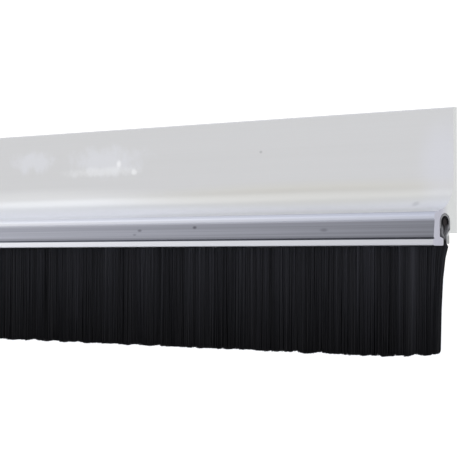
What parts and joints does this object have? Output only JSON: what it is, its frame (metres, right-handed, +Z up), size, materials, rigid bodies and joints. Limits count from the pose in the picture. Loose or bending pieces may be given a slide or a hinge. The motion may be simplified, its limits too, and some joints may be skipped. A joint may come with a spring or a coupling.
{
  "type": "brush door sweep",
  "caption": "Brush door sweep: an aluminium carrier with a flat plate, and a slide-in brush strip of dense straight filaments.",
  "frame": {"origin": "middle of the carrier's flat back face, which lies on the door", "axes": "+X along the strip, +Y into the door, +Z up; -Y faces the room"},
  "size_m": [0.914, 0.0095, 0.058],
  "materials": {
    "carrier": "satin mill finish with fine lines along the extrusion",
    "backing": "dull galvanised steel strip",
    "wire": "drawn steel wire with a black phosphate coat",
    "filament": "black nylon filament"
  },
  "bodies": {
    "carrier": {"carrier_extrusion": "carrier"},
    "insert": {"backing_channel": "backing", "core_wire": "wire", "bristle_fold": "filament"},
    "bristles": {"bristles_front": "filament", "bristles_back": "filament"}
  },
  "joints": [
    {"name": "insert_slide", "type": "slide", "parent": "carrier", "child": "insert", "axis": [1, 0, 0], "range_m": [0, 0.914]},
    {"name": "bristle_flex", "type": "hinge", "parent": "insert", "child": "bristles", "pos_m": [0, -0.00485, -0.01785], "axis": [1, 0, 0], "range_deg": [-35, 35], "stiffness_Nm_per_rad": 0.6}
  ]
}
